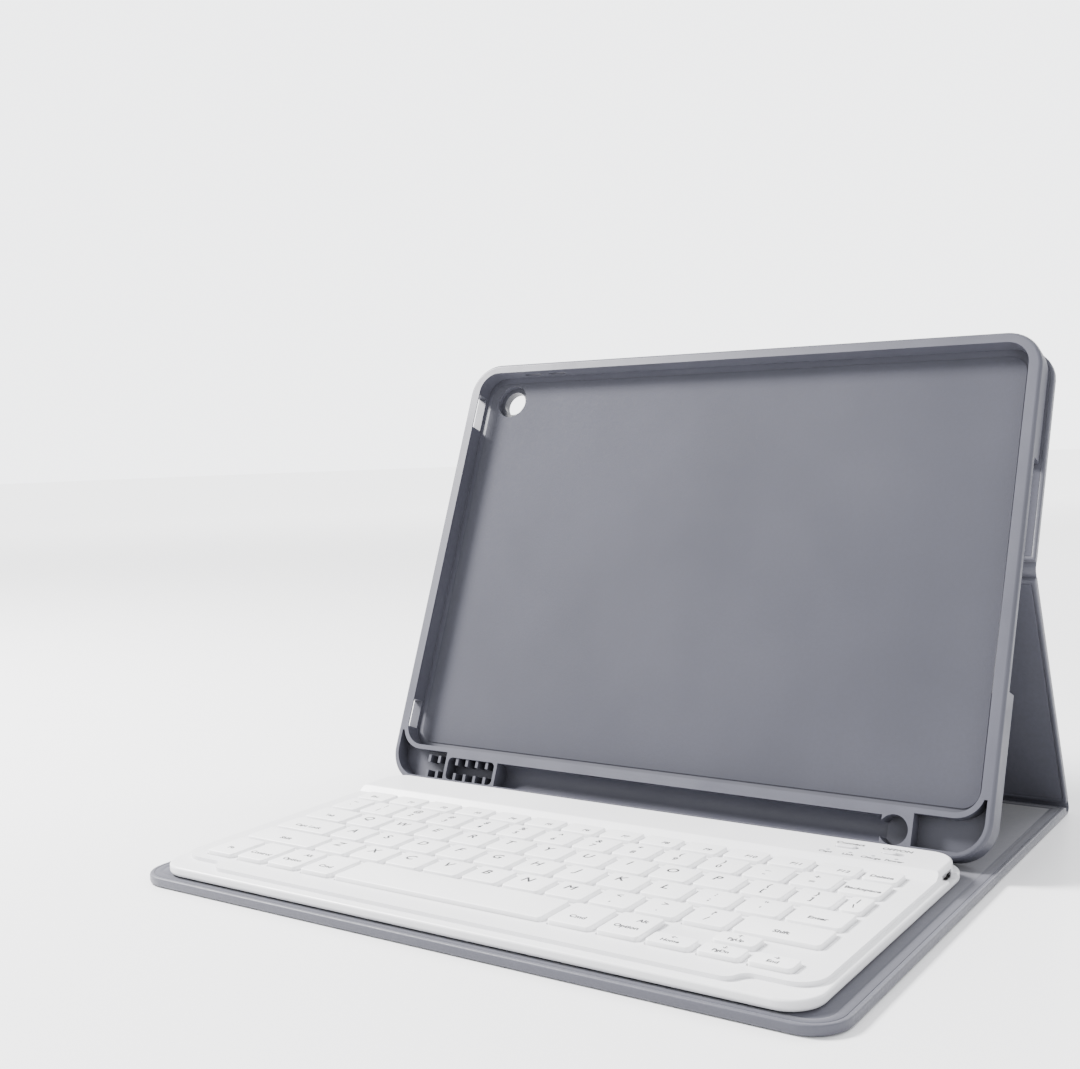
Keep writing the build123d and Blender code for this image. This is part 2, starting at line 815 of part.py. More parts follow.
with BuildPart() as keyboard_top:
    extrude(deck_outline(deck_plane), deck_thickness)
    add(ridge.part)
    # hollow under the ridge for the circuit board and the battery
    extrude(
        panel_outline(
            deck_plane, keyboard_width - 2 * cavity_side, ridge_front + ridge_slope,
            keyboard_depth - cavity_side, 0, cavity_corner,
        ),
        ridge_height - deck_thickness - bottom_height, mode=Mode.SUBTRACT,
    )
    extrude(key_wells(deck_plane), deck_thickness, mode=Mode.SUBTRACT)
    # slots for the switch and the connect button, holes for the lights, mouth for the socket
    extrude(
        slots(deck_plane, [(switch_x, control_y), (connect_x, control_y)], slot_length, slot_width),
        ridge_height, mode=Mode.SUBTRACT,
    )
    extrude(discs(deck_plane, light_places, light_diameter), ridge_height, mode=Mode.SUBTRACT)
    extrude(
        rectangle(deck_plane, keyboard_width / 2, port_y, 2 * port_depth, port_width),
        port_top - bottom_height, mode=Mode.SUBTRACT,
    )
keep(keyboard_top.part, "keyboard_top")

# ---------------------------------------------------------------------------------------------
# Inside the keyboard
# ---------------------------------------------------------------------------------------------
support_thickness = 0.4
membrane_thickness = 0.3
inner_gap = 0.4
membrane_width = keyboard_width - 2 * (cavity_side + inner_gap)
membrane_front = cavity_front + inner_gap
membrane_rear = key_rear + key_gap / 2
membrane_level = bottom_floor + support_thickness
dome_level = membrane_level + membrane_thickness
dome_diameter = 5.0
dome_top_diameter = 3.0
dome_height = 1.2
small_dome = 0.5

with BuildPart() as support_plate:
    extrude(
        panel_outline(
            keyboard_plane.offset(bottom_floor), membrane_width, membrane_front, membrane_rear,
            0, 0,
        ),
        support_thickness,
    )
keep(support_plate.part, "support_plate")

with BuildPart() as contact_membrane:
    extrude(
        panel_outline(
            keyboard_plane.offset(membrane_level), membrane_width, membrane_front, membrane_rear,
            0, 0,
        ),
        membrane_thickness,
    )
keep(contact_membrane.part, "contact_membrane")

with BuildPart() as key_domes:
    for node, middle, along, width, depth in keys:
        scale = 1.0 if depth > letter_row / 2 else small_dome
        with Locations(keyboard_plane.offset(dome_level).location * Location((middle, along, 0))):
            Cone(
                scale * dome_diameter / 2, scale * dome_top_diameter / 2, dome_height,
                align=(Align.CENTER, Align.CENTER, Align.MIN),
            )
keep(key_domes.part, "key_domes")

battery_width = 90.0
battery_clearance = 1.15
battery_height = 3.6
battery_corner = 1.5
battery_from_side = 64.0
circuit_from_side = 46.0
circuit_width = 76.0
circuit_thickness = 1.0
inner_front = ridge_front + ridge_slope
inner_rear = keyboard_depth - cavity_side
inner_middle = (inner_front + inner_rear) / 2
battery_depth = inner_rear - inner_front - 2 * battery_clearance
circuit_depth = battery_depth
battery_x = battery_from_side - keyboard_width / 2
circuit_x = keyboard_width / 2 - circuit_from_side
with BuildPart() as battery:
    extrude(
        rectangle(
            keyboard_plane.offset(bottom_floor), battery_x, inner_middle, battery_width,
            battery_depth, battery_corner,
        ),
        battery_height,
    )
keep(battery.part, "battery")

with BuildPart() as circuit_board:
    extrude(
        rectangle(
            keyboard_plane.offset(bottom_floor), circuit_x, inner_middle, circuit_width,
            circuit_depth,
        ),
        circuit_thickness,
    )
keep(circuit_board.part, "circuit_board")

socket_clearance = 0.2
socket_wall = 0.35
socket_tongue = 0.7
socket_length = port_depth - deck_inset
socket_back = 1.0
socket_flat = 0.05
tongue_share = 0.6
socket_width = port_width - 2 * socket_clearance
socket_height = port_height - 2 * socket_clearance
socket_plane = Plane(
    origin=keyboard_plane.from_local_coords(
        (keyboard_width / 2 - deck_inset, port_y, port_middle)
    ),
    x_dir=(0, 1, 0), z_dir=(1, 0, 0),
)
with BuildPart() as charging_socket:
    extrude(
        rectangle(socket_plane, 0, 0, socket_width, socket_height, socket_height / 2 - socket_flat),
        -socket_length,
    )
    extrude(
        rectangle(
            socket_plane, 0, 0, socket_width - 2 * socket_wall, socket_height - 2 * socket_wall,
            socket_height / 2 - socket_wall - socket_flat,
        ),
        -(socket_length - socket_back), mode=Mode.SUBTRACT,
    )
    extrude(
        rectangle(
            socket_plane.offset(-socket_back), 0, 0, socket_width * tongue_share, socket_tongue
        ),
        -(socket_length - socket_back),
    )
keep(charging_socket.part, "charging_socket")

light_pipe_below = 0.6
light_level = ridge_height - deck_thickness - light_pipe_below
with BuildPart() as status_lights:
    extrude(
        discs(keyboard_plane.offset(light_level), light_places, light_diameter),
        ridge_height - light_level,
    )
keep(status_lights.part, "status_lights")

holding_magnet_width = 24.0
holding_magnet_depth = 5.0
holding_magnet_height = 1.8
holding_magnet_x = 12.0
holding_magnet_gap = 2.0
with BuildPart() as keyboard_magnets:
    for side in (-1, 1):
        extrude(
            rectangle(
                keyboard_plane.offset(bottom_floor), holding_magnet_x,
                inner_middle + side * (holding_magnet_depth + holding_magnet_gap) / 2,
                holding_magnet_width,
                holding_magnet_depth,
            ),
            holding_magnet_height,
        )
keep(keyboard_magnets.part, "keyboard_magnets")

with BuildPart() as keyboard_feet:
    extrude(discs(keyboard_plane, foot_places, foot_diameter), -foot_height)
keep(keyboard_feet.part, "keyboard_feet")

with BuildPart() as case_screws:
    extrude(discs(keyboard_plane, screw_places, screw_head), screw_head_height)
    extrude(discs(keyboard_plane, screw_places, screw_shank), screw_length)
keep(case_screws.part, "case_screws")

# ---------------------------------------------------------------------------------------------
# Controls on the ridge
# ---------------------------------------------------------------------------------------------
control_clearance = 0.3
control_edge = 0.3
control_length = slot_length - 2 * control_clearance
control_width = slot_width - 2 * control_clearance
knob_length = control_length - switch_travel
knob_proud = 0.5
button_proud = 0.8
knob_plane = keyboard_plane.offset(ridge_height - deck_thickness)
with BuildPart() as power_switch:
    extrude(
        slots(knob_plane, [(switch_x - switch_travel / 2, control_y)], knob_length, control_width),
        deck_thickness + knob_proud,
    )
    fillet(power_switch.edges().group_by(Axis.Z)[-1], control_edge)
keep(power_switch.part, "power_switch")

with BuildPart() as connect_button:
    extrude(
        slots(knob_plane, [(connect_x, control_y)], control_length, control_width),
        deck_thickness + button_proud,
    )
    fillet(connect_button.edges().group_by(Axis.Z)[-1], control_edge)
keep(connect_button.part, "connect_button")


# ---------------------------------------------------------------------------------------------
# Keycaps: hollow caps with a rounded top edge, one node for each special key or row group
# ---------------------------------------------------------------------------------------------
def keycaps(node):
    """All keycaps of one node."""
    own = [key for key in keys if key[0] == node]
    key_plane = keyboard_plane.offset(key_bottom)
    with BuildPart() as caps:
        for name, middle, along, width, depth in own:
            extrude(rectangle(key_plane, middle, along, width, depth, key_corner), key_height)
        fillet(caps.edges().group_by(Axis.Z)[-1], key_edge)
        for name, middle, along, width, depth in own:
            hollow = rectangle(
                key_plane, middle, along, width - 2 * key_wall, depth - 2 * key_wall
            )
            extrude(hollow, key_height - key_wall, mode=Mode.SUBTRACT)
    return caps.part


for node in dict.fromkeys(key[0] for key in keys):
    keep(keycaps(node), node)

print("pieces", len(pieces))
print("tray_slope", round(degrees(tray_slope), 6))
print("kickstand_slope", round(degrees(kickstand_slope), 6))
print("hinge", round(y_hinge, 6), hinge_axis_height)
print("fold", round(y_fold, 6), round(z_fold, 6))
print("tray_origin", round(tray_plane.origin.Y, 6), round(tray_plane.origin.Z, 6))
print("keyboard_origin", round(y_keyboard, 6), round(keyboard_z, 6))
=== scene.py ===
import json
from math import cos, pi, radians, sin

import bmesh
import bpy
from mathutils import Matrix, Vector


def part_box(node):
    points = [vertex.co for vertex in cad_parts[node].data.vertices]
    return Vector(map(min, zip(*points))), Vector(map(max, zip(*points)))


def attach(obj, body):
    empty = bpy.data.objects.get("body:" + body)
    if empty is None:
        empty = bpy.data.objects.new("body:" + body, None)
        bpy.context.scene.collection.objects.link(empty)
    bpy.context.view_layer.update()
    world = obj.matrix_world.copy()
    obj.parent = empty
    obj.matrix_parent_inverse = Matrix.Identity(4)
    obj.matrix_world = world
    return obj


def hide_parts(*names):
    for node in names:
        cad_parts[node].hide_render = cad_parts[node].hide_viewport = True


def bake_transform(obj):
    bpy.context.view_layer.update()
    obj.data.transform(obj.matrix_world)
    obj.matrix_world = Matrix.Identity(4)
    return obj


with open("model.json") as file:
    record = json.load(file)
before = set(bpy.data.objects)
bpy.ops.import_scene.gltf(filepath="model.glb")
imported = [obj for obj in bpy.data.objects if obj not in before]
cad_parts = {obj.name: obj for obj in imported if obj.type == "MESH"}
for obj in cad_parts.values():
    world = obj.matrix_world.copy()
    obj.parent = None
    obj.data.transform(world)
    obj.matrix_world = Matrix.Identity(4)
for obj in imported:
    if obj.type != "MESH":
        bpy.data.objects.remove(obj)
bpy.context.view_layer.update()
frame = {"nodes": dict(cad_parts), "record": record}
mm = 0.001

# ---------------------------------------------------------------------------------------------
# Studio: a pale table that runs into a lit sweep, under soft boxes. The camera stands at the
# keyboard's right front corner, a little below the tray's top edge. None of it is the case's.
# ---------------------------------------------------------------------------------------------
table_radius = 6.0
table_points = 96
table_gap = 0.2 * mm
round_turns = [2 * pi * k / table_points for k in range(table_points)]
table = bpy.data.meshes.new("table")
table.from_pydata(
    [(table_radius * cos(turn), table_radius * sin(turn), 0) for turn in round_turns],
    [],
    [range(table_points)],
)
floor = bpy.data.objects.new("table_top", table)
bpy.context.scene.collection.objects.link(floor)
floor.location.z = -table_gap
paint = bpy.data.materials.new("pale_table")
paint.use_nodes = True
shader = paint.node_tree.nodes["Principled BSDF"]
shader.inputs["Base Color"].default_value = (0.86, 0.86, 0.87, 1)
shader.inputs["Roughness"].default_value = 0.28
shader.inputs["Specular IOR Level"].default_value = 0.35
# the sweep behind the table is lit from within, so that no horizon shows
glow_start = 0.55
glow_end = 2.4
sweep_glow = 2.3
middle = paint.node_tree.nodes.new("ShaderNodeTexCoord").outputs["Object"]
distance = paint.node_tree.nodes.new("ShaderNodeVectorMath")
distance.operation = "LENGTH"
paint.node_tree.links.new(middle, distance.inputs[0])
glow = paint.node_tree.nodes.new("ShaderNodeMapRange")
glow.interpolation_type = "SMOOTHSTEP"
glow.inputs["From Min"].default_value = glow_start
glow.inputs["From Max"].default_value = glow_end
glow.inputs["To Max"].default_value = sweep_glow
paint.node_tree.links.new(distance.outputs["Value"], glow.inputs["Value"])
paint.node_tree.links.new(glow.outputs["Result"], shader.inputs["Emission Strength"])
shader.inputs["Emission Color"].default_value = (1, 1, 1, 1)
table.materials.append(paint)

world = bpy.data.worlds.new("studio")
world.use_nodes = True
walls = world.node_tree.nodes["Background"]
walls.inputs["Color"].default_value = (0.97, 0.98, 1.0, 1)
# the walls look whiter to the camera than the light that they give
wall_light = 1.45
wall_shine = 4.2
sight = world.node_tree.nodes.new("ShaderNodeLightPath")
level = world.node_tree.nodes.new("ShaderNodeMapRange")
level.inputs["To Min"].default_value = wall_light
level.inputs["To Max"].default_value = wall_shine
world.node_tree.links.new(sight.outputs["Is Camera Ray"], level.inputs["Value"])
world.node_tree.links.new(level.outputs["Result"], walls.inputs["Strength"])
bpy.context.scene.world = world

camera_place = Vector((0.2630, -0.4290, 0.1550))
camera_target = Vector((-0.0233, 0.0, 0.1116))
camera_roll = -1.84
camera_data = bpy.data.cameras.new("camera")
camera_data.lens = 45.93
camera_data.sensor_width = 36.0
camera_data.shift_x = -0.0217
camera_data.shift_y = 0.0108
camera_data.clip_start = 0.01
camera = bpy.data.objects.new("camera", camera_data)
aim = (camera_target - camera_place).to_track_quat("-Z", "Y").to_matrix().to_4x4()
camera.matrix_world = (
    Matrix.Translation(camera_place) @ aim @ Matrix.Rotation(radians(camera_roll), 4, "Z")
)
bpy.context.scene.collection.objects.link(camera)
bpy.context.scene.camera = camera


def soft_box(name, place, target, size, power, colour):
    """Square studio light aimed at a point."""
    lamp = bpy.data.lights.new(name, "AREA")
    lamp.size = size
    lamp.energy = power
    lamp.color = colour
    light = bpy.data.objects.new(name, lamp)
    light.location = place
    light.rotation_euler = (Vector(target) - Vector(place)).to_track_quat("-Z", "Y").to_euler()
    bpy.context.scene.collection.objects.link(light)


soft_box("key_light", (-0.95, -0.25, 0.95), (0, 0, 0.05), 0.34, 82.0, (1.0, 0.99, 0.98))
soft_box("fill_light", (0.95, -0.75, 0.55), (0, 0, 0.08), 0.9, 5.0, (0.97, 0.98, 1.0))
soft_box("rear_light", (0.3, 1.1, 0.9), (0, 0, 0.08), 0.8, 24.0, (1.0, 1.0, 1.0))

# ---------------------------------------------------------------------------------------------
# Cover skin: one sheet of coated microfibre leather, 0.7 mm thick, heat-pressed so that a raised
# pad shows over each board and a pressed line runs round it. Its edges are turned up and glued.
# ---------------------------------------------------------------------------------------------
joints = {joint["name"]: joint for joint in frame["record"]["behaviour"]["joints"]}
hinge_axis = Vector(joints["kickstand_hinge"]["pos_m"])
fold_axis = Vector(joints["fold_hinge"]["pos_m"])
kickstand_slope = radians(-joints["kickstand_hinge"]["range_deg"][0])
tray_slope = kickstand_slope - radians(joints["fold_hinge"]["range_deg"][1])
cover_low, cover_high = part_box("cover_skin")
cover_width = cover_high.x - cover_low.x
cover_thickness = cover_high.z - cover_low.z
skin = 0.7 * mm
wrap = 1.6 * mm
cover_corner = 12.0 * mm
square_corner = 0.4 * mm
sharp_angle = radians(38)


def panel_frame(y, z, slope):
    """Frame of a panel: x is across, y climbs its slope, z points from its skin to its lining."""
    return Matrix((
        (1, 0, 0, 0),
        (0, cos(slope), -sin(slope), y),
        (0, sin(slope), cos(slope), z),
        (0, 0, 0, 1),
    ))


def outline(width, low, high, low_corner, high_corner, inset=0.0, across=0.0, steps=7):
    """Rounded rectangle in a panel's plane, anticlockwise from the low right corner."""
    points = []
    right = width / 2 - inset
    for end, side, corner, start in (
        (low, 1, low_corner, -90), (high, 1, high_corner, 0),
        (high, -1, high_corner, 90), (low, -1, low_corner, 180),
    ):
        radius = max(corner - inset, square_corner)
        way = 1 if end == low else -1
        centre_x = side * (right - radius)
        centre_y = end + way * (inset + radius)
        for step in range(steps + 1):
            angle = radians(start + 90 * step / steps)
            points.append((across + centre_x + radius * cos(angle), centre_y + radius * sin(angle)))
    return points


def new_piece(name, points, faces):
    """Mesh piece in the case's frame, its faces turned outwards and its round parts smooth."""
    mesh = bpy.data.meshes.new(name)
    mesh.from_pydata([tuple(point) for point in points], [], faces)
    work = bmesh.new()
    work.from_mesh(mesh)
    bmesh.ops.recalc_face_normals(work, faces=work.faces)
    work.to_mesh(mesh)
    work.free()
    mesh.shade_smooth()
    piece = bpy.data.objects.new(name, mesh)
    bpy.context.scene.collection.objects.link(piece)
    mesh.set_sharp_from_angle(angle=sharp_angle)
    return piece


def loop_faces(rows, count, base=0):
    """Faces between rows of equal loops whose first point is the base, with a cap at both ends."""
    faces = []
    for row in range(rows - 1):
        for k in range(count):
            first = base + row * count + k
            second = base + row * count + (k + 1) % count
            faces.append((first, second, second + count, first + count))
    last = base + (rows - 1) * count
    faces.append(tuple(range(base, base + count)))
    faces.append(tuple(range(last, last + count)))
    return faces


def pressed_piece(name, panel, loops):
    """Closed piece through a run of equal loops, each (points, level), capped at both ends."""
    points = []
    for loop, level in loops:
        points += [panel @ Vector((x, y, level)) for x, y in loop]
    return new_piece(name, points, loop_faces(len(loops), len(loops[0][0])))


def fit_to_case(piece, finish, body, slot, *nodes):
    """Give a piece its finish, the body it moves with and the CAD nodes it stands for; its slot is
    not used.
    """
    piece.data.materials.append(finish)
    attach(piece, body)
    if nodes:
        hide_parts(*nodes)
    return piece


def new_finish(name, colour, roughness):
    """Material with a plain shader, and the coordinates of the piece it covers."""
    finish = bpy.data.materials.new(name)
    finish.use_nodes = True
    nodes = finish.node_tree.nodes
    shader = nodes["Principled BSDF"]
    shader.inputs["Base Color"].default_value = (*colour, 1)
    shader.inputs["Roughness"].default_value = roughness
    place = nodes.new("ShaderNodeTexCoord").outputs["Object"]
    return finish, shader, place


def grain(finish, place, per_metre, detail=2.0, stretch=None):
    """Cloudy noise with that many features to the metre, drawn out along an axis if asked."""
    tree = finish.node_tree
    if stretch:
        mapping = tree.nodes.new("ShaderNodeMapping")
        mapping.inputs["Scale"].default_value = stretch
        tree.links.new(place, mapping.inputs["Vector"])
        place = mapping.outputs["Vector"]
    noise = tree.nodes.new("ShaderNodeTexNoise")
    noise.inputs["Scale"].default_value = per_metre
    noise.inputs["Detail"].default_value = detail
    tree.links.new(place, noise.inputs["Vector"])
    return noise.outputs["Fac"]


def pebbles(finish, place, per_metre):
    """Small cells, as in pressed leather."""
    tree = finish.node_tree
    cells = tree.nodes.new("ShaderNodeTexVoronoi")
    cells.feature = "SMOOTH_F1"
    cells.inputs["Scale"].default_value = per_metre
    tree.links.new(place, cells.inputs["Vector"])
    return cells.outputs["Distance"]


def tint(finish, pattern, low_colour, high_colour, low=0.35, high=0.65):
    """Colour that runs between two shades as the pattern rises."""
    ramp = finish.node_tree.nodes.new("ShaderNodeValToRGB")
    ramp.color_ramp.elements[0].position = low
    ramp.color_ramp.elements[0].color = (*low_colour, 1)
    ramp.color_ramp.elements[1].position = high
    ramp.color_ramp.elements[1].color = (*high_colour, 1)
    finish.node_tree.links.new(pattern, ramp.inputs["Fac"])
    return ramp.outputs["Color"]


# a noise pattern seldom leaves this range
noise_low = 0.3
noise_high = 0.7


def spread(finish, pattern, low, high):
    """The pattern spread between two values."""
    spreader = finish.node_tree.nodes.new("ShaderNodeMapRange")
    spreader.inputs["From Min"].default_value = noise_low
    spreader.inputs["From Max"].default_value = noise_high
    spreader.inputs["To Min"].default_value = low
    spreader.inputs["To Max"].default_value = high
    finish.node_tree.links.new(pattern, spreader.inputs["Value"])
    return spreader.outputs["Result"]


def emboss(finish, pattern, height, strength, below=None):
    """Bump of a real height in metres, laid over another one if given."""
    bump = finish.node_tree.nodes.new("ShaderNodeBump")
    bump.inputs["Distance"].default_value = height
    bump.inputs["Strength"].default_value = strength
    finish.node_tree.links.new(pattern, bump.inputs["Height"])
    if below:
        finish.node_tree.links.new(below, bump.inputs["Normal"])
    return bump.outputs["Normal"]


def worn_edges(finish, colour, worn_colour, wear_pattern, amount):
    """Colour that is rubbed lighter along the outer edges, in patches."""
    tree = finish.node_tree
    shape = tree.nodes.new("ShaderNodeNewGeometry")
    edge = tree.nodes.new("ShaderNodeMapRange")
    edge.inputs["From Min"].default_value = 0.52
    edge.inputs["From Max"].default_value = 0.62
    edge.inputs["To Max"].default_value = amount
    tree.links.new(shape.outputs["Pointiness"], edge.inputs["Value"])
    patches = tree.nodes.new("ShaderNodeMath")
    patches.operation = "MULTIPLY"
    tree.links.new(edge.outputs["Result"], patches.inputs[0])
    tree.links.new(wear_pattern, patches.inputs[1])
    mix = tree.nodes.new("ShaderNodeMix")
    mix.data_type = "RGBA"
    mix.inputs["B"].default_value = (*worn_colour, 1)
    tree.links.new(patches.outputs["Value"], mix.inputs["Factor"])
    tree.links.new(colour, mix.inputs["A"])
    return mix.outputs["Result"]


def join_shader(finish, shader, **sources):
    """Link patterns to the shader's sockets: colour, roughness and normal."""
    sockets = {"colour": "Base Color", "roughness": "Roughness", "normal": "Normal"}
    for name, source in sources.items():
        finish.node_tree.links.new(source, shader.inputs[sockets[name]])


def leather_finish():
    """Grey-lilac coated leather: fine pebble grain, faint clouds, edges rubbed a little pale."""
    finish, shader, place = new_finish("grained_leather", (0.066, 0.067, 0.086), 0.5)
    cloud = grain(finish, place, 22, 3)
    fine = grain(finish, place, 900, 3)
    cells = pebbles(finish, place, 1300)
    colour = tint(finish, cloud, (0.064, 0.065, 0.083), (0.069, 0.070, 0.089))
    colour = worn_edges(finish, colour, (0.13, 0.132, 0.16), fine, 0.7)
    normal = emboss(finish, cells, 0.00012, 0.35)
    normal = emboss(finish, fine, 0.00008, 0.25, normal)
    join_shader(
        finish, shader, colour=colour, roughness=spread(finish, fine, 0.44, 0.60), normal=normal
    )
    shader.inputs["Sheen Weight"].default_value = 0.12
    shader.inputs["Sheen Roughness"].default_value = 0.5
    shader.inputs["Specular IOR Level"].default_value = 0.42
    return finish


leather = leather_finish()
pad_inset = 5.4 * mm
line_width = 1.9 * mm
pad_sink = 0.45 * mm
border_sink = 0.1 * mm
edge_round = 0.62 * mm
edge_steps = 6
wrap_lip = 0.25 * mm


def embossed_skin(name, panel, low, high, low_corner, high_corner):
    """Turned-up skin of one panel: pad and pressed line outside, a pocket for the board inside."""
    sizes = (cover_width, low, high, low_corner, high_corner)
    # the pressed line's profile, from the pad outwards: share of its width, depth
    line_profile = (
        (1.2, 0.0), (1.0, 0.03 * mm), (0.7, 0.6 * pad_sink), (0.45, pad_sink), (0.1, pad_sink),
        (-0.4, 1.5 * border_sink), (-0.9, border_sink),
    )
    loops = [
        (outline(*sizes, inset=pad_inset + share * line_width), depth)
        for share, depth in line_profile
    ]
    turns = [radians(90 * step / edge_steps) for step in range(edge_steps + 1)]
    for turn in turns:
        level = border_sink + edge_round * (1 - cos(turn))
        loops.append((outline(*sizes, inset=edge_round * (1 - sin(turn))), level))
    for turn in turns:
        level = cover_thickness - edge_round * (1 - sin(turn))
        loops.append((outline(*sizes, inset=edge_round * (1 - cos(turn))), level))
    loops += [
        (outline(*sizes, inset=wrap - wrap_lip), cover_thickness),
        (outline(*sizes, inset=wrap), cover_thickness - 0.8 * wrap_lip),
        (outline(*sizes, inset=wrap), skin),
    ]
    return pressed_piece(name, panel, loops)


cover_panel = panel_frame(0, 0, 0)
y_front = cover_low.y
y_rear = cover_high.y
cover_skin = embossed_skin("cover_outer_skin", cover_panel, y_front, y_rear, cover_corner, 0)
fit_to_case(cover_skin, leather, "base", "cover_leather", "cover_skin")

# ---------------------------------------------------------------------------------------------
# Cover lining: brushed microfibre glued over the boards, inside the turned-up skin. A pressed line
# follows its border all round.
# ---------------------------------------------------------------------------------------------
lining_thickness = 0.7 * mm
lining_line_inset = 2.4 * mm
lining_line_depth = 0.14 * mm


def microfibre_finish(name, dark, light):
    """Short-napped microfibre: a fine fibre grain with soft light and dark strokes."""
    finish, shader, place = new_finish(name, light, 0.85)
    strokes = grain(finish, place, 14, 3, (1.0, 0.45, 1.0))
    nap = grain(finish, place, 2600, 2)
    fibres = grain(finish, place, 700, 4, (1.0, 0.35, 1.0))
    colour = tint(finish, strokes, dark, light, 0.3, 0.7)
    tree = finish.node_tree
    speckle = tree.nodes.new("ShaderNodeMix")
    speckle.data_type = "RGBA"
    speckle.blend_type = "MULTIPLY"
    speckle.inputs["Factor"].default_value = 0.5
    tree.links.new(colour, speckle.inputs["A"])
    tree.links.new(tint(finish, fibres, (0.80, 0.80, 0.80), (1, 1, 1)), speckle.inputs["B"])
    normal = emboss(finish, fibres, 0.00012, 0.4)
    normal = emboss(finish, nap, 0.00006, 0.35, normal)
    join_shader(
        finish, shader, colour=speckle.outputs["Result"],
        roughness=spread(finish, fibres, 0.78, 0.95), normal=normal,
    )
    shader.inputs["Sheen Weight"].default_value = 0.25
    shader.inputs["Sheen Roughness"].default_value = 0.4
    shader.inputs["Specular IOR Level"].default_value = 0.25
    return finish


microfibre = microfibre_finish("brushed_microfibre", (0.062, 0.063, 0.080), (0.073, 0.074, 0.093))


def lining_sheet(name, panel, low, high, low_corner, high_corner, level, pressed_line):
    """Lining of one panel, with a soft edge and, if asked, a pressed line near its border."""
    corners = (max(low_corner - wrap, 0), max(high_corner - wrap, 0))
    sizes = (cover_width - 2 * wrap, low + wrap, high - wrap, *corners)
    top = level + lining_thickness
    # soft edge, and then the pressed line: inset, depth below the top
    profile = [(0.0, lining_thickness), (0.02 * mm, 0.3 * mm), (0.12 * mm, 0.1 * mm), (0.4 * mm, 0)]
    if pressed_line:
        profile += [
            (lining_line_inset, 0), (lining_line_inset + 0.3 * mm, lining_line_depth),
            (lining_line_inset + 0.7 * mm, lining_line_depth), (lining_line_inset + 1.0 * mm, 0),
        ]
    loops = [(outline(*sizes, inset=inset), top - depth) for inset, depth in profile]
    return pressed_piece(name, panel, loops)


lining_level = cover_thickness - lining_thickness
cover_lining = lining_sheet(
    "cover_inner_lining", cover_panel, y_front, y_rear, cover_corner, 0, lining_level, True
)
fit_to_case(cover_lining, microfibre, "base", "cover_lining", "cover_liner")

# ---------------------------------------------------------------------------------------------
# Boards, plate and magnets: greyboard stiffeners, a thin steel plate under the keyboard and small
# nickel-plated magnets. They are laminated between skin and lining and show only from inside.
# ---------------------------------------------------------------------------------------------


def board_finish():
    """Pressed greyboard with flecks of pulp."""
    finish, shader, place = new_finish("greyboard", (0.32, 0.29, 0.25), 0.9)
    pulp = grain(finish, place, 420, 5, (1.0, 0.5, 1.0))
    colour = tint(finish, pulp, (0.22, 0.20, 0.17), (0.40, 0.37, 0.32), 0.3, 0.72)
    join_shader(
        finish, shader, colour=colour, roughness=spread(finish, pulp, 0.82, 0.97),
        normal=emboss(finish, pulp, 0.00015, 0.5),
    )
    return finish


def brushed_metal(name, colour, roughness, across):
    """Rolled or plated metal with fine strokes in one direction."""
    finish, shader, place = new_finish(name, colour, roughness)
    strokes = grain(finish, place, 900, 3, across)
    shade = tuple(0.82 * value for value in colour)
    join_shader(
        finish, shader, colour=tint(finish, strokes, shade, colour, 0.3, 0.7),
        roughness=spread(finish, strokes, roughness - 0.08, roughness + 0.1),
        normal=emboss(finish, strokes, 0.00002, 0.4),
    )
    shader.inputs["Metallic"].default_value = 1.0
    return finish


def dress(finish, *nodes):
    """Give CAD pieces their finish."""
    for node in nodes:
        mesh = frame["nodes"][node].data
        mesh.materials.clear()
        mesh.materials.append(finish)


dress(board_finish(), "front_board", "spine_board", "kickstand_board")
dress(microfibre, "upper_board", "upper_glue")
steel = brushed_metal("rolled_steel", (0.56, 0.57, 0.58), 0.36, (0.06, 1.0, 1.0))
nickel = brushed_metal("nickel_plate", (0.66, 0.64, 0.60), 0.24, (1.0, 0.3, 1.0))
dress(steel, "steel_plate", "support_plate")
dress(nickel, "cover_magnets", "keyboard_magnets")

# ---------------------------------------------------------------------------------------------
# Rear hinge: the bare skin runs on behind the spine and turns up round the hinge. It is soft
# leather without a board, so it bends between the cover and the kickstand.
# ---------------------------------------------------------------------------------------------
hinge_radius = hinge_axis.z
to_skin = Vector((0, sin(kickstand_slope), -cos(kickstand_slope)))
kickstand_foot = hinge_axis + hinge_radius * to_skin
kickstand_panel = panel_frame(kickstand_foot.y, kickstand_foot.z, kickstand_slope)
hinge_gap = hinge_axis.y - y_rear
strip_inset = 0.25 * mm
rim_sink = 0.18


def hinge_strip(name, path, thickness):
    """Strip of bare skin across the case, from its outer path inwards along the path's normals."""
    half = cover_width / 2 - strip_inset
    rim = [
        (-half, rim_sink), (-half + strip_inset, 0.0), (half - strip_inset, 0.0), (half, rim_sink),
    ]
    points = []
    for point, normal in path:
        for x, sink in rim:
            points.append(Vector((x, *point)) + Vector((0, *normal)) * thickness * sink)
        for x, sink in reversed(rim):
            points.append(Vector((x, *point)) + Vector((0, *normal)) * thickness * (1 - sink))
    return new_piece(name, points, loop_faces(len(path), 2 * len(rim)))


lap_start = 0.9 * mm
flat_steps = 6
bend_steps = 22
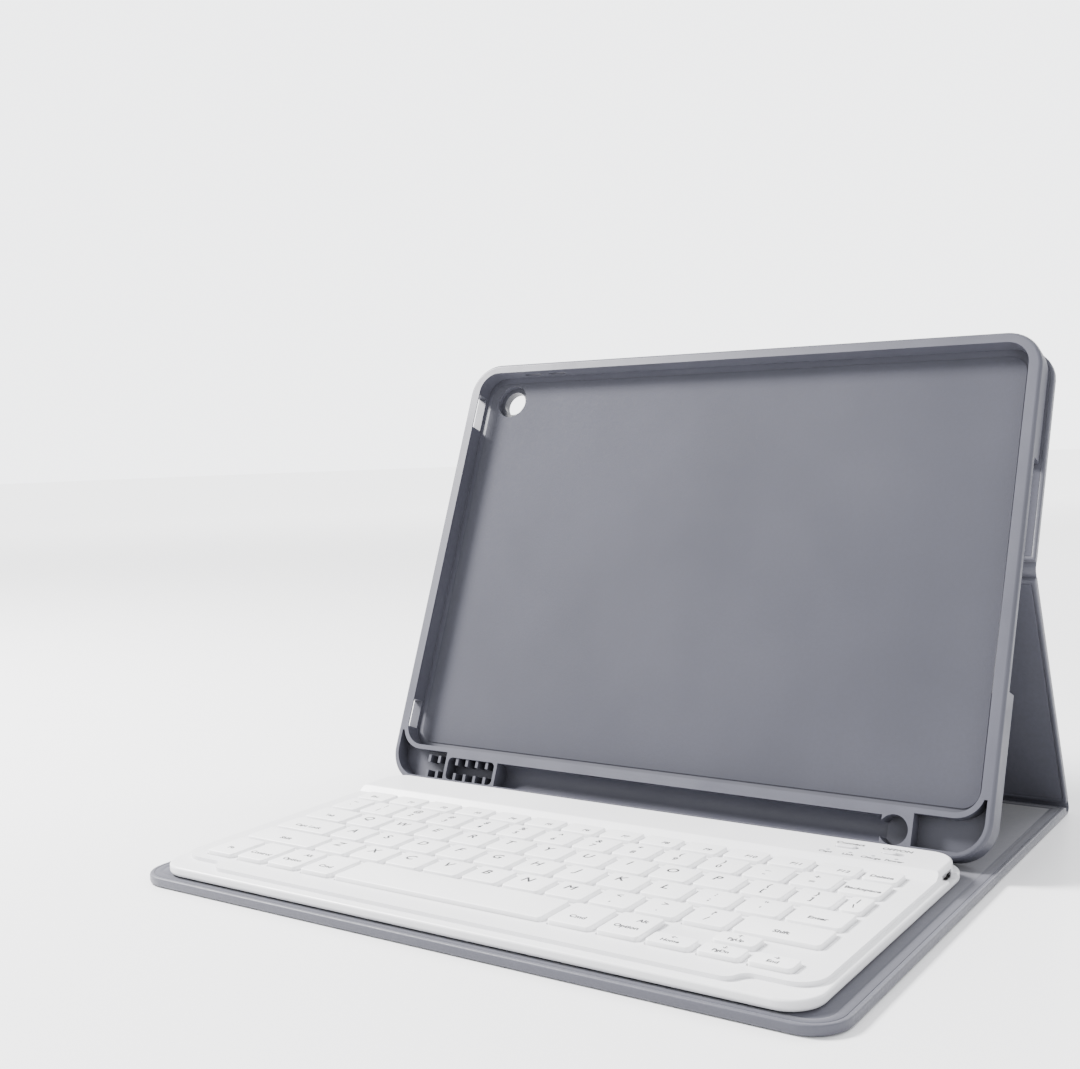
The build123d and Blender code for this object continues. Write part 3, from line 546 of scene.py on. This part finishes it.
# where the strip laps a panel it sinks into the panel's skin: place along the panel, depth
rear_lap = ((-0.4 * mm, 0.12 * mm), (0.3 * mm, 0.04 * mm))
rear_path = [((y_rear + along, sink), (0, 1)) for along, sink in rear_lap]
for step in range(flat_steps):
    along = y_rear + lap_start + (hinge_gap - lap_start) * step / flat_steps
    rear_path.append(((along, 0.0), (0, 1)))
for step in range(bend_steps + 1):
    turn = kickstand_slope * step / bend_steps
    rear_path.append((
        (hinge_axis.y + hinge_radius * sin(turn), hinge_radius * (1 - cos(turn))),
        (-sin(turn), cos(turn)),
    ))
upper_lap = ((0.9 * mm, 0.0), (1.9 * mm, 0.0), (2.9 * mm, 0.04 * mm), (3.7 * mm, 0.12 * mm))
for climb, sink in upper_lap:
    place = kickstand_panel @ Vector((0, climb, sink))
    rear_path.append(((place.y, place.z), (-sin(kickstand_slope), cos(kickstand_slope))))
rear_skin = hinge_strip("rear_hinge_skin", rear_path, skin)
rear_skin.data.materials.append(leather)
kickstand_low = hinge_gap
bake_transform(rear_skin)
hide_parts("rear_hinge")

# ---------------------------------------------------------------------------------------------
# Kickstand: the lower rear panel, leather outside and microfibre inside over its own board. It
# carries the tray's weight from the fold down to the rear hinge.
# ---------------------------------------------------------------------------------------------
fold_gap = 2.75 * mm
kickstand_reach = (kickstand_panel.inverted() @ fold_axis).y
kickstand_high = kickstand_reach - fold_gap
kickstand_skin = embossed_skin(
    "kickstand_outer_skin", kickstand_panel, kickstand_low, kickstand_high, 0, 0
)
fit_to_case(kickstand_skin, leather, "kickstand", "cover_leather", "kickstand_skin")
kickstand_lining = lining_sheet(
    "kickstand_inner_lining", kickstand_panel, kickstand_low, kickstand_high, 0, 0, lining_level,
    False,
)
fit_to_case(kickstand_lining, microfibre, "kickstand", "cover_lining", "kickstand_liner")

# ---------------------------------------------------------------------------------------------
# Fold hinge: a narrow strip of bare skin between the kickstand and the upper panel. It is built
# creased backwards, as when the case stands.
# ---------------------------------------------------------------------------------------------
upper_foot = fold_axis + skin / 2 * Vector((0, sin(tray_slope), -cos(tray_slope)))
upper_panel = panel_frame(upper_foot.y, upper_foot.z, tray_slope)
fold_path = []
straight = 1.5 * mm
lower_lap = ((-0.5 * mm, 0.12 * mm), (0.2 * mm, 0.04 * mm), (0.7 * mm, 0.0), (1.2 * mm, 0.0))
for climb, sink in lower_lap:
    place = kickstand_panel @ Vector((0, kickstand_high + climb, sink))
    fold_path.append(((place.y, place.z), (-sin(kickstand_slope), cos(kickstand_slope))))
crease_start = kickstand_panel @ Vector((0, kickstand_reach - straight, 0))
crease_end = upper_panel @ Vector((0, straight, 0))
crease_pull = kickstand_panel @ Vector((0, kickstand_reach, 0))
crease_steps = 8
for step in range(crease_steps + 1):
    part = step / crease_steps
    place = crease_start * (1 - part) ** 2 + crease_pull * 2 * part * (1 - part)
    place += crease_end * part**2
    turn = kickstand_slope + (tray_slope - kickstand_slope) * part
    fold_path.append(((place.y, place.z), (-sin(turn), cos(turn))))
panel_lap = ((1.9 * mm, 0.0), (2.5 * mm, 0.04 * mm), (3.3 * mm, 0.12 * mm))
for climb, sink in panel_lap:
    place = upper_panel @ Vector((0, climb, sink))
    fold_path.append(((place.y, place.z), (-sin(tray_slope), cos(tray_slope))))
fold_skin = hinge_strip("fold_hinge_skin", fold_path, skin)
fold_skin.data.materials.append(leather)
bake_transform(fold_skin)
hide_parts("fold_hinge")

# ---------------------------------------------------------------------------------------------
# Upper panel and camera ring: the same pressed leather over a board that is glued to the tray's
# back. A moulded ring lines the hole in its corner that the tablet's camera looks through.
# ---------------------------------------------------------------------------------------------
seat_width = 1.6 * mm
sleeve_wall = 2.2 * mm
hole_cut = (-2 * mm, 6 * mm)
round_steps = 72


def panel_box(node):
    """Low and high corners of a CAD node in the upper panel's frame."""
    to_panel = upper_panel.inverted()
    places = [to_panel @ vertex.co for vertex in frame["nodes"][node].data.vertices]
    low = Vector([min(place[axis] for place in places) for axis in range(3)])
    high = Vector([max(place[axis] for place in places) for axis in range(3)])
    return low, high


upper_high = panel_box("upper_skin")[1].y
ring_low, ring_high = panel_box("camera_ring")
ring_across = (ring_low.x + ring_high.x) / 2
ring_up = (ring_low.y + ring_high.y) / 2
ring_proud = -ring_low.z
ring_back = ring_high.z
seat_radius = (ring_high.x - ring_low.x) / 2
sleeve_radius = seat_radius - seat_width
hole_radius = sleeve_radius - sleeve_wall


def circle(radius, across, up):
    """Circle in a panel's plane."""
    turns = [2 * pi * k / round_steps for k in range(round_steps)]
    return [(across + radius * cos(turn), up + radius * sin(turn)) for turn in turns]


def cut_round(piece, panel, radius, across, up, low, high):
    """Cut a round hole right through a piece."""
    cutter = pressed_piece(
        "cutter", panel, [(circle(radius, across, up), low), (circle(radius, across, up), high)]
    )
    cut = piece.modifiers.new("hole", "BOOLEAN")
    cut.operation = "DIFFERENCE"
    cut.solver = "EXACT"
    cut.object = cutter
    shapes = bpy.context.evaluated_depsgraph_get()
    mesh = bpy.data.meshes.new_from_object(piece.evaluated_get(shapes))
    piece.modifiers.clear()
    mesh.set_sharp_from_angle(angle=sharp_angle)
    piece.data = mesh
    bpy.data.objects.remove(cutter)


upper_skin = embossed_skin("upper_outer_skin", upper_panel, fold_gap, upper_high, 0, cover_corner)
cut_round(upper_skin, upper_panel, sleeve_radius, ring_across, ring_up, *hole_cut)
fit_to_case(upper_skin, leather, "tray", "cover_leather", "upper_skin")
# reach of the painted shade that darkens narrow gaps
crease_reach = 9 * mm


def paint_shade_in_creases(finish, colour, shade):
    """Colour with painted shade: an ambient occlusion node darkens it in narrow gaps."""
    tree = finish.node_tree
    crease = tree.nodes.new("ShaderNodeAmbientOcclusion")
    crease.only_local = True
    crease.samples = 8
    crease.inputs["Distance"].default_value = crease_reach
    gap = tree.nodes.new("ShaderNodeMapRange")
    gap.inputs["From Min"].default_value = 0.15
    gap.inputs["From Max"].default_value = 0.55
    gap.inputs["To Min"].default_value = shade
    gap.inputs["To Max"].default_value = 1.0
    tree.links.new(crease.outputs["AO"], gap.inputs["Value"])
    mix = tree.nodes.new("ShaderNodeVectorMath")
    mix.operation = "SCALE"
    tree.links.new(colour, mix.inputs["Vector"])
    tree.links.new(gap.outputs["Result"], mix.inputs["Scale"])
    return mix.outputs["Vector"]


def moulded_finish(name, dark, light, roughness, crease_shade=None):
    """Soft moulded rubber: a satin skin with a very fine spark-eroded texture, and painted shade in
    its narrow gaps if crease_shade is given.
    """
    finish, shader, place = new_finish(name, light, roughness)
    cloud = grain(finish, place, 16, 2)
    spark = grain(finish, place, 2200, 3)
    wipe = grain(finish, place, 60, 4)
    colour = tint(finish, cloud, dark, light)
    worn = tuple(min(1.0, 1.35 * value) for value in light)
    colour = worn_edges(finish, colour, worn, wipe, 0.55)
    # painted shade: where asked, the colour darkens in narrow gaps
    if crease_shade:
        colour = paint_shade_in_creases(finish, colour, crease_shade)
    join_shader(
        finish, shader, colour=colour,
        roughness=spread(finish, wipe, roughness - 0.07, roughness + 0.07),
        normal=emboss(finish, spark, 0.00005, 0.3),
    )
    shader.inputs["Specular IOR Level"].default_value = 0.4
    return finish


ring_rubber = moulded_finish("ring_rubber", (0.030, 0.031, 0.040), (0.038, 0.039, 0.050), 0.42)
# the ring's section, from its sleeve over the flange and down into the hole: radius, level
ring_profile = (
    (sleeve_radius, ring_back), (sleeve_radius, 0.0), (seat_radius, 0.0),
    (seat_radius, -0.15 * ring_proud), (seat_radius - 0.12 * mm, -0.5 * ring_proud),
    (seat_radius - 0.45 * mm, -0.88 * ring_proud), (seat_radius - 0.9 * mm, -ring_proud),
    (hole_radius + 1.1 * mm, -ring_proud), (hole_radius + 0.5 * mm, -0.8 * ring_proud),
    (hole_radius + 0.15 * mm, -0.3 * ring_proud), (hole_radius, 0.4 * ring_proud),
    (hole_radius, ring_back),
)
ring_points = []
for radius, level in ring_profile:
    loop = circle(radius, ring_across, ring_up)
    ring_points += [upper_panel @ Vector((x, y, level)) for x, y in loop]
# the last loop joins the first one, so the ring has no caps
ring_faces = []
for row in range(len(ring_profile)):
    here = row * round_steps
    there = (row + 1) % len(ring_profile) * round_steps
    for k in range(round_steps):
        after = (k + 1) % round_steps
        ring_faces.append((here + k, here + after, there + after, there + k))
camera_ring = new_piece("camera_hole_ring", ring_points, ring_faces)
fit_to_case(camera_ring, ring_rubber, "tray", "cover_leather", "camera_ring")

# ---------------------------------------------------------------------------------------------
# Tray: the tablet's shell, moulded in one piece from soft TPU, with the stylus channel, the ribbed
# cells and the cut-outs. A microfibre sheet is bonded to the floor of its bay.
# ---------------------------------------------------------------------------------------------
# painted shade: the tray's colour darkens in its narrow gaps, such as the ribbed cells and the
# channel, down to 0.3 of its tone
tray_rubber = moulded_finish("tray_rubber", (0.056, 0.057, 0.073), (0.064, 0.065, 0.083), 0.48, 0.3)
dress(tray_rubber, "tray")
bay_microfibre = microfibre_finish("bay_microfibre", (0.045, 0.046, 0.059), (0.055, 0.056, 0.071))
dress(bay_microfibre, "tray_lining")

# ---------------------------------------------------------------------------------------------
# Keyboard shells: the base and the deck are moulded in white ABS with a satin texture, and six
# small screws hold them together from below. Four rubber feet stand on the lining.
# ---------------------------------------------------------------------------------------------


def plastic_finish(name, dark, light, roughness, texture):
    """Opaque moulded plastic with a satin texture and the faint marks of handling."""
    finish, shader, place = new_finish(name, light, roughness)
    cloud = grain(finish, place, 12, 3)
    spark = grain(finish, place, texture, 2)
    wipe = grain(finish, place, 45, 4)
    join_shader(
        finish, shader, colour=tint(finish, cloud, dark, light),
        roughness=spread(finish, wipe, roughness - 0.06, roughness + 0.06),
        normal=emboss(finish, spark, 0.00003, 0.22),
    )
    shader.inputs["Specular IOR Level"].default_value = 0.45
    return finish


white_shell = plastic_finish("white_shell", (0.74, 0.74, 0.755), (0.78, 0.78, 0.795), 0.34, 2400)
dress(white_shell, "keyboard_bottom", "keyboard_top")
foot_rubber = moulded_finish("foot_rubber", (0.05, 0.05, 0.055), (0.07, 0.07, 0.075), 0.7)
dress(foot_rubber, "keyboard_feet")
screw_steel = brushed_metal("plated_screw", (0.50, 0.50, 0.51), 0.3, (1.0, 1.0, 0.4))
dress(screw_steel, "case_screws")

# ---------------------------------------------------------------------------------------------
# Inside the keyboard: contact membrane with printed tracks, silicone domes, a wrapped battery and
# the circuit board. The two shells shut them in.
# ---------------------------------------------------------------------------------------------


def tracks_finish(name, ground, ink, roughness, pitch):
    """Film or board with a grid of printed tracks."""
    finish, shader, place = new_finish(name, ground, roughness)
    tree = finish.node_tree
    brick = tree.nodes.new("ShaderNodeTexBrick")
    brick.inputs["Color1"].default_value = (*ground, 1)
    brick.inputs["Color2"].default_value = (*(0.9 * value for value in ground), 1)
    brick.inputs["Mortar"].default_value = (*ink, 1)
    brick.inputs["Scale"].default_value = pitch
    brick.inputs["Mortar Size"].default_value = 0.03
    tree.links.new(place, brick.inputs["Vector"])
    haze = grain(finish, place, 300, 3)
    join_shader(
        finish, shader, colour=brick.outputs["Color"],
        roughness=spread(finish, haze, roughness - 0.08, roughness + 0.08),
        normal=emboss(finish, brick.outputs["Fac"], 0.00004, 0.4),
    )
    return finish


dress(tracks_finish("printed_film", (0.62, 0.64, 0.62), (0.30, 0.31, 0.33), 0.3, 190),
      "contact_membrane")
dress(tracks_finish("green_board", (0.02, 0.10, 0.05), (0.42, 0.30, 0.12), 0.4, 320),
      "circuit_board")
dress(moulded_finish("clear_silicone", (0.66, 0.68, 0.70), (0.74, 0.76, 0.78), 0.35), "key_domes")
dress(plastic_finish("battery_film", (0.28, 0.29, 0.32), (0.34, 0.35, 0.38), 0.28, 500), "battery")
dress(brushed_metal("socket_shell", (0.60, 0.60, 0.61), 0.26, (0.4, 1.0, 1.0)), "charging_socket")

# ---------------------------------------------------------------------------------------------
# Keycaps: white moulded caps, hollow below, with straight flanks and a softly rounded top
# edge. Each cap fills its own opening in the deck, and the caps of one node press together.
# ---------------------------------------------------------------------------------------------
cap_wall = 0.9 * mm
cap_corner = 1.5 * mm
cap_round = 0.42 * mm
cap_draft = 0.16 * mm
cap_steps = 5
cap_corner_steps = 4
key_plastic = plastic_finish("white_keycap", (0.84, 0.84, 0.85), (0.88, 0.88, 0.89), 0.42, 2000)


def loose_boxes(node):
    """Low and high corners of each separate solid of a CAD node, from left to right."""
    mesh = frame["nodes"][node].data
    home = list(range(len(mesh.vertices)))

    def root(k):
        while home[k] != k:
            home[k] = home[home[k]]
            k = home[k]
        return k

    # vertices at one place belong together even where the faces' corners are split
    same = {}
    for vertex in mesh.vertices:
        key = tuple(round(value / 1e-6) for value in vertex.co)
        home[root(vertex.index)] = root(same.setdefault(key, vertex.index))
    for edge in mesh.edges:
        home[root(edge.vertices[0])] = root(edge.vertices[1])
    boxes = {}
    for vertex in mesh.vertices:
        low, high = boxes.setdefault(root(vertex.index), (vertex.co.copy(), vertex.co.copy()))
        for axis in range(3):
            low[axis] = min(low[axis], vertex.co[axis])
            high[axis] = max(high[axis], vertex.co[axis])
    return sorted(boxes.values(), key=lambda box: box[0].x)


def cap_loops(low, high):
    """Loops of one keycap from the roof of its hollow, round its rim and up to its top."""
    width = high.x - low.x
    sizes = (width, low.y, high.y, cap_corner, cap_corner)
    across = (low.x + high.x) / 2
    profile = [
        (cap_wall, high.z - cap_wall), (cap_wall, low.z), (0.0, low.z),
        (cap_draft, high.z - cap_round),
    ]
    for step in range(1, cap_steps + 1):
        turn = radians(90 * step / cap_steps)
        inset = cap_draft + cap_round * (1 - cos(turn))
        profile.append((inset, high.z - cap_round * (1 - sin(turn))))
    return [
        (outline(*sizes, inset=inset, across=across, steps=cap_corner_steps), level)
        for inset, level in profile
    ]


def keycap_set(name, boxes):
    """All caps of one node as one piece."""
    points = []
    faces = []
    for low, high in boxes:
        loops = cap_loops(low, high)
        faces += loop_faces(len(loops), len(loops[0][0]), len(points))
        for loop, level in loops:
            points += [Vector((x, y, level)) for x, y in loop]
    return new_piece(name, points, faces)


key_nodes = [node for node in frame["nodes"] if node.endswith(("_key", "_keys", "space_bar"))]
key_boxes = {node: loose_boxes(node) for node in key_nodes}
for node in key_nodes:
    caps = keycap_set("caps_" + node, key_boxes[node])
    fit_to_case(caps, key_plastic, node, "key_plastic", node)

# ---------------------------------------------------------------------------------------------
# Legends: the keys' lettering, printed on the caps in dark grey ink. Letters stand left of the
# middle, shifted signs over the digits, and short words on the wide keys.
# ---------------------------------------------------------------------------------------------
ink_finish, ink_shader, ink_place = new_finish("legend_ink", (0.018, 0.018, 0.021), 0.55)
ink_speckle = grain(ink_finish, ink_place, 1500, 2)
join_shader(
    ink_finish, ink_shader,
    colour=tint(ink_finish, ink_speckle, (0.012, 0.012, 0.015), (0.028, 0.028, 0.032)),
    roughness=spread(ink_finish, ink_speckle, 0.45, 0.65),
    normal=emboss(ink_finish, ink_speckle, 0.00001, 0.2),
)
ink_depth = 0.03 * mm
ink_step = 0.002 * mm
ink_bleed = 0.02
word_bleed = 0.035
sharp_letters = "MW"
letter_size = 5.2 * mm
sign_size = 4.0 * mm
word_size = 2.9 * mm
small_size = 2.4 * mm
letter_slant = 0.15
letter_place = (-0.28, 0.22)
upper_sign_place = (-0.1, 0.38)
lower_sign_place = (-0.1, -0.36)
function_place = (0.3, -0.3)
word_place = (0.0, -0.3)
extra_word_place = (0.3, 0.4)
arrow_word_place = (0.0, -0.35)
arrow_place = (0.0, 0.42)


def lettering(name, body, slot, words):
    """One printed piece from (text, x, y, z, size, slant) entries, each centred on its place."""
    work = bmesh.new()
    for text, x, y, z, size, slant in words:
        curve = bpy.data.curves.new("word", "FONT")
        curve.body = text
        curve.size = size
        curve.shear = slant
        curve.align_x = "CENTER"
        curve.align_y = "CENTER"
        curve.extrude = ink_depth / 2
        bleed = ink_bleed if len(text) == 1 else word_bleed
        curve.offset = 0 if text in sharp_letters else bleed * size
        curve.resolution_u = 3
        word = bpy.data.objects.new("word", curve)
        bpy.context.scene.collection.objects.link(word)
        shapes = bpy.context.evaluated_depsgraph_get()
        mesh = bpy.data.meshes.new_from_object(word.evaluated_get(shapes))
        mesh.transform(Matrix.Translation((x, y, z)))
        work.from_mesh(mesh)
        bpy.data.objects.remove(word)
        bpy.data.meshes.remove(mesh)
    bmesh.ops.remove_doubles(work, verts=work.verts, dist=1e-7)
    mesh = bpy.data.meshes.new(name)
    work.to_mesh(mesh)
    work.free()
    piece = bpy.data.objects.new(name, mesh)
    bpy.context.scene.collection.objects.link(piece)
    return fit_to_case(piece, ink_finish, body, slot)


def on_cap(box, text, place, size, slant=0.0):
    """Prints of a word on one cap, placed by shares of half the cap's width and depth."""
    low, high = box
    along, up = place
    x = (low.x + high.x) / 2 + along * (high.x - low.x) / 2
    y = (low.y + high.y) / 2 + up * (high.y - low.y) / 2
    if text not in sharp_letters:
        return [(text, x, y, high.z, size, slant)]
    # letters with sharp joints can't be thickened, so they are printed three times side by side
    return [
        (text, x + side * ink_bleed * size, y, high.z + side * ink_step, size, slant)
        for side in (-1, 0, 1)
    ]


letters = {
    "upper_letter_keys": "QWERTYUIOP", "home_letter_keys": "ASDFGHJKL",
    "lower_letter_keys": "ZXCVBNM",
}
signs = {
    "upper_letter_keys": ("{[", "}]"), "home_letter_keys": (":;", "\"'"),
    "lower_letter_keys": ("<,", ">.", "?/"),
    "number_keys": ("~`", "!1", "@2", "#3", "$4", "%5", "^6", "&7", "*8", "(9", ")0", "_-", "+="),
    "backslash_key": ("|\\",),
}
words = {
    "escape_key": ("Esc",), "delete_key": ("Delete",), "tab_key": ("Tab",),
    "backspace_key": ("Backspace",), "caps_lock_key": ("Caps Lock",), "enter_key": ("Enter",),
    "left_shift_key": ("Shift",), "right_shift_key": ("Shift",), "fn_key": ("Fn",),
    "control_key": ("Control",), "left_option_key": ("Option", "Alt"),
    "left_command_key": ("Cmd",), "right_command_key": ("Cmd",),
    "right_option_key": ("Option", "Alt"),
}
arrows = {
    "left_arrow_key": ("Home", "←"), "up_arrow_key": ("PgUp", "↑"),
    "down_arrow_key": ("PgDn", "↓"), "right_arrow_key": ("End", "→"),
}
for node in key_nodes:
    boxes = key_boxes[node]
    entries = []
    for box, letter in zip(boxes, letters.get(node, "")):
        entries += on_cap(box, letter, letter_place, letter_size, letter_slant)
    lettered = len(letters.get(node, ""))
    for box, pair in zip(boxes[lettered:], signs.get(node, ())):
        entries += on_cap(box, pair[0], upper_sign_place, sign_size)
        entries += on_cap(box, pair[1], lower_sign_place, sign_size)
    if node == "function_keys":
        for number, box in enumerate(boxes, 1):
            entries += on_cap(box, f"F{number}", function_place, word_size, letter_slant)
    if node in words:
        entries += on_cap(boxes[0], words[node][0], word_place, word_size)
        for extra in words[node][1:]:
            entries += on_cap(boxes[0], extra, extra_word_place, word_size)
    if node in arrows:
        entries += on_cap(boxes[0], arrows[node][0], arrow_word_place, small_size)
        entries += on_cap(boxes[0], arrows[node][1], arrow_place, small_size)
    if entries:
        lettering("legend_" + node, node, "key_plastic", entries)

# ---------------------------------------------------------------------------------------------
# Controls and lights on the ridge: a slide switch, a connect button and four small light pipes,
# with their names printed beside them.
# ---------------------------------------------------------------------------------------------
grey_control = plastic_finish("control_plastic", (0.66, 0.66, 0.68), (0.72, 0.72, 0.74), 0.4, 1800)
dress(grey_control, "power_switch", "connect_button")
light_pipe = plastic_finish("light_pipe", (0.30, 0.31, 0.33), (0.42, 0.43, 0.45), 0.15, 900)
dress(light_pipe, "status_lights")

deck_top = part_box("keyboard_top")[1].z
switch_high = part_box("power_switch")[1]
button_low, button_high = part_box("connect_button")
lights = loose_boxes("status_lights")
name_above = 3.0 * mm
name_below = 1.6 * mm
switch_name_left = 1.2 * mm
ridge_words = [
    ("OFF/ON", switch_high.x - switch_name_left, switch_high.y + name_above, deck_top, word_size,
     0.0),
    ("Connect", (button_low.x + button_high.x) / 2, button_high.y + name_above, deck_top,
     word_size, 0.0),
]
for (low, high), text in zip(lights, ("Caps", "Link", "Charge", "Power")):
    ridge_words.append(
        (text, (low.x + high.x) / 2, low.y - name_below, deck_top, small_size, 0.0)
    )
lettering("legend_ridge", "keyboard", "keyboard_plastic", ridge_words)
